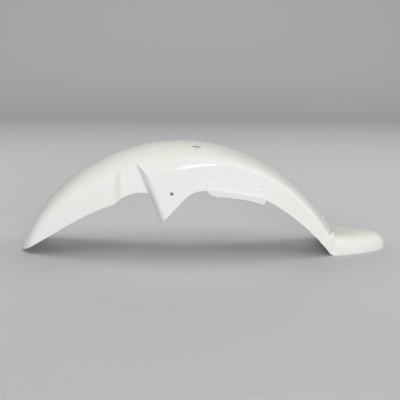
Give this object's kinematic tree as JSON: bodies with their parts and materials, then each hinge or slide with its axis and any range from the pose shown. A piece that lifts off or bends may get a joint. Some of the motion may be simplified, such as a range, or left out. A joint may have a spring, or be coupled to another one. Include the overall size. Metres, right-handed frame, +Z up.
{
  "type": "motorcycle front mudguard",
  "caption": "Moulded front mudguard: domed arch over the wheel, fork recesses, pointed bolt lugs, a ridged lip on each side and a hollow tail flap with a rounded toe.",
  "frame": {"origin": "on the floor under the middle of the guard, as it stands on its front tip and its tail flap", "axes": "+X from the front tip to the tail flap, +Y across to the rider's right, +Z up; the wheel axle runs along Y at x -0.046 m, z -0.129 m"},
  "size_m": [0.6996, 0.1366, 0.206],
  "materials": {
    "white_gloss": "gloss"
  },
  "bodies": {
    "root": {"mudguard": "white_gloss"}
  },
  "joints": []
}
